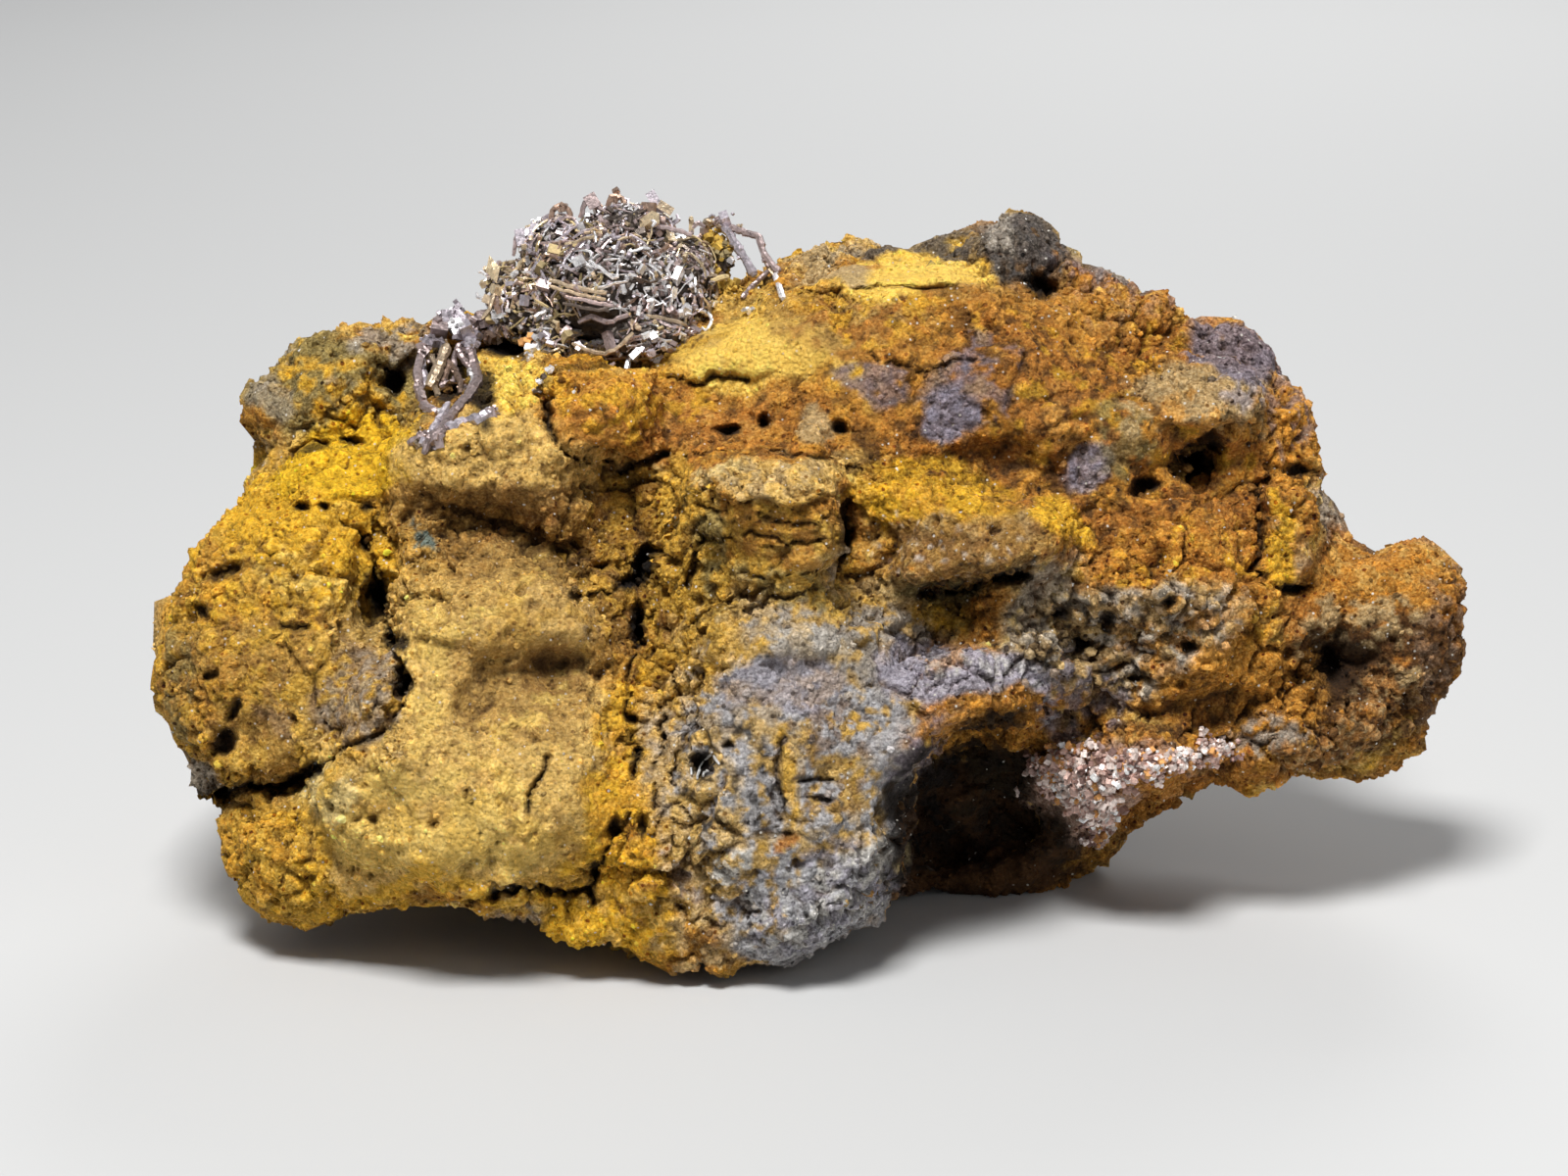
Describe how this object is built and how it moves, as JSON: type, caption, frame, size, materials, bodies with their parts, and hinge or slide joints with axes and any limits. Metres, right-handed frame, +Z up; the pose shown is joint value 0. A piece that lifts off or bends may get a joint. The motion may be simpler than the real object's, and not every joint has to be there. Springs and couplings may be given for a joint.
{
  "type": "native copper specimen",
  "caption": "Hand specimen of native copper: a nest of bent copper wires and small copper crystals on a craggy lump of yellow and orange limonite, standing on its own underside",
  "frame": {"origin": "the middle of the specimen's box, on the table it stands on", "axes": "+Z up, +X along the long side of the specimen to the viewer's right, -Y towards the viewer who sees the copper nest at the top left"},
  "size_m": [0.0541, 0.0304, 0.0292],
  "materials": {
    "limonite": "matte",
    "wire_copper": "satin",
    "loop_copper": "satin",
    "sprig_copper": "satin",
    "crust_copper": "satin"
  },
  "bodies": {
    "root": {"limonite_matrix": "limonite", "copper_wire_nest": "wire_copper", "copper_wire_loops": "loop_copper", "copper_wire_sprig": "sprig_copper", "copper_crystal_crust": "crust_copper"}
  },
  "joints": []
}
